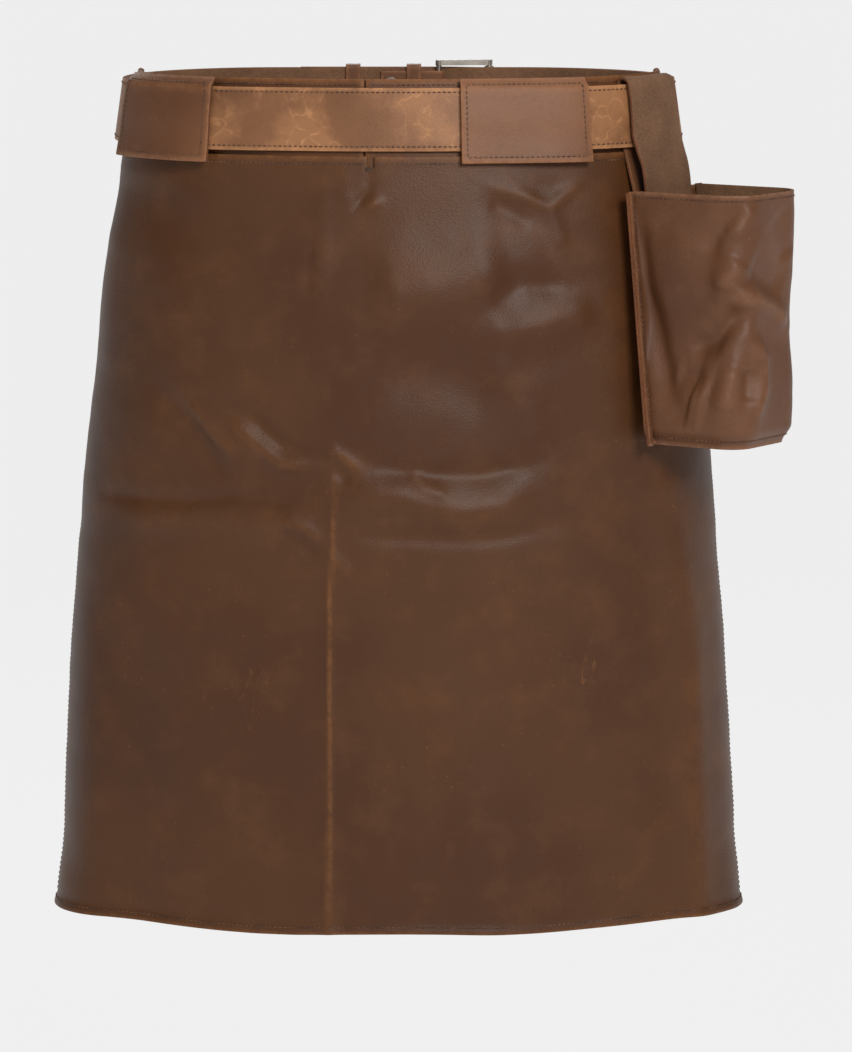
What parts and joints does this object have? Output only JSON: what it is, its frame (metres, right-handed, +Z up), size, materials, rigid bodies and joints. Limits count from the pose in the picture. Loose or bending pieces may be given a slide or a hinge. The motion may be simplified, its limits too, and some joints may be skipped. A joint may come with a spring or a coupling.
{
  "type": "welding apron",
  "caption": "Half-length leather welding apron with a stitched waistband, two belt loops, a buckled belt and a hanging tool pouch.",
  "frame": {"origin": "centre of the waist opening, between the hip axes, at the belt's mid-height", "axes": "+Z up, -Y out of the front of the apron, +X towards the wearer's left"},
  "size_m": [0.5397, 0.2826, 0.624],
  "materials": {
    "oiled_hide": "oiled pull-up leather, satin",
    "belt_hide": "worn pull-up leather, satin",
    "flesh_side": "suede flesh side, matte",
    "pouch_hide": "soft oiled leather, satin",
    "buckle_metal": "nickel-plated, lightly worn"
  },
  "bodies": {
    "apron": {"skirt": "oiled_hide", "waistband_left": "oiled_hide", "waistband_right": "oiled_hide", "waistband_lining": "flesh_side", "belt_outer": "belt_hide", "belt_lining": "flesh_side", "loop_left_face": "oiled_hide", "loop_left_lining": "flesh_side", "loop_right_face": "oiled_hide", "loop_right_lining": "flesh_side", "buckle_frame": "buckle_metal", "buckle_chape": "belt_hide", "chape_rivets": "buckle_metal", "keeper_fixed": "belt_hide"},
    "roller": {"buckle_roller": "buckle_metal"},
    "prong": {"buckle_prong": "buckle_metal"},
    "keeper": {"keeper_sliding": "belt_hide"},
    "hanger": {"hanger_loop": "pouch_hide"},
    "pouch": {"hanger_tail": "pouch_hide", "pouch_back": "pouch_hide", "pouch_wrap": "pouch_hide", "pouch_bottom": "pouch_hide"}
  },
  "joints": [
    {"name": "roller_spin", "type": "hinge", "parent": "apron", "child": "roller", "pos_m": [0.068, 0.121, 0], "axis": [0, 0, 1], "continuous": true},
    {"name": "prong_lift", "type": "hinge", "parent": "apron", "child": "prong", "pos_m": [0.03, 0.1149, 0], "axis": [0, 0, 1], "range_deg": [0, 4]},
    {"name": "keeper_slide", "type": "slide", "parent": "apron", "child": "keeper", "axis": [1, 0, 0], "range_m": [-0.014, 0.014]},
    {"name": "hanger_slide", "type": "hinge", "parent": "apron", "child": "hanger", "pos_m": [0.084, 0, 0], "axis": [0, 0, 1], "range_deg": [-12, 90]},
    {"name": "pouch_swing", "type": "hinge", "parent": "hanger", "child": "pouch", "pos_m": [0.19083, -0.07165, -0.027], "axis": [-0.557, -0.8305, 0], "range_deg": [0, 50]}
  ]
}
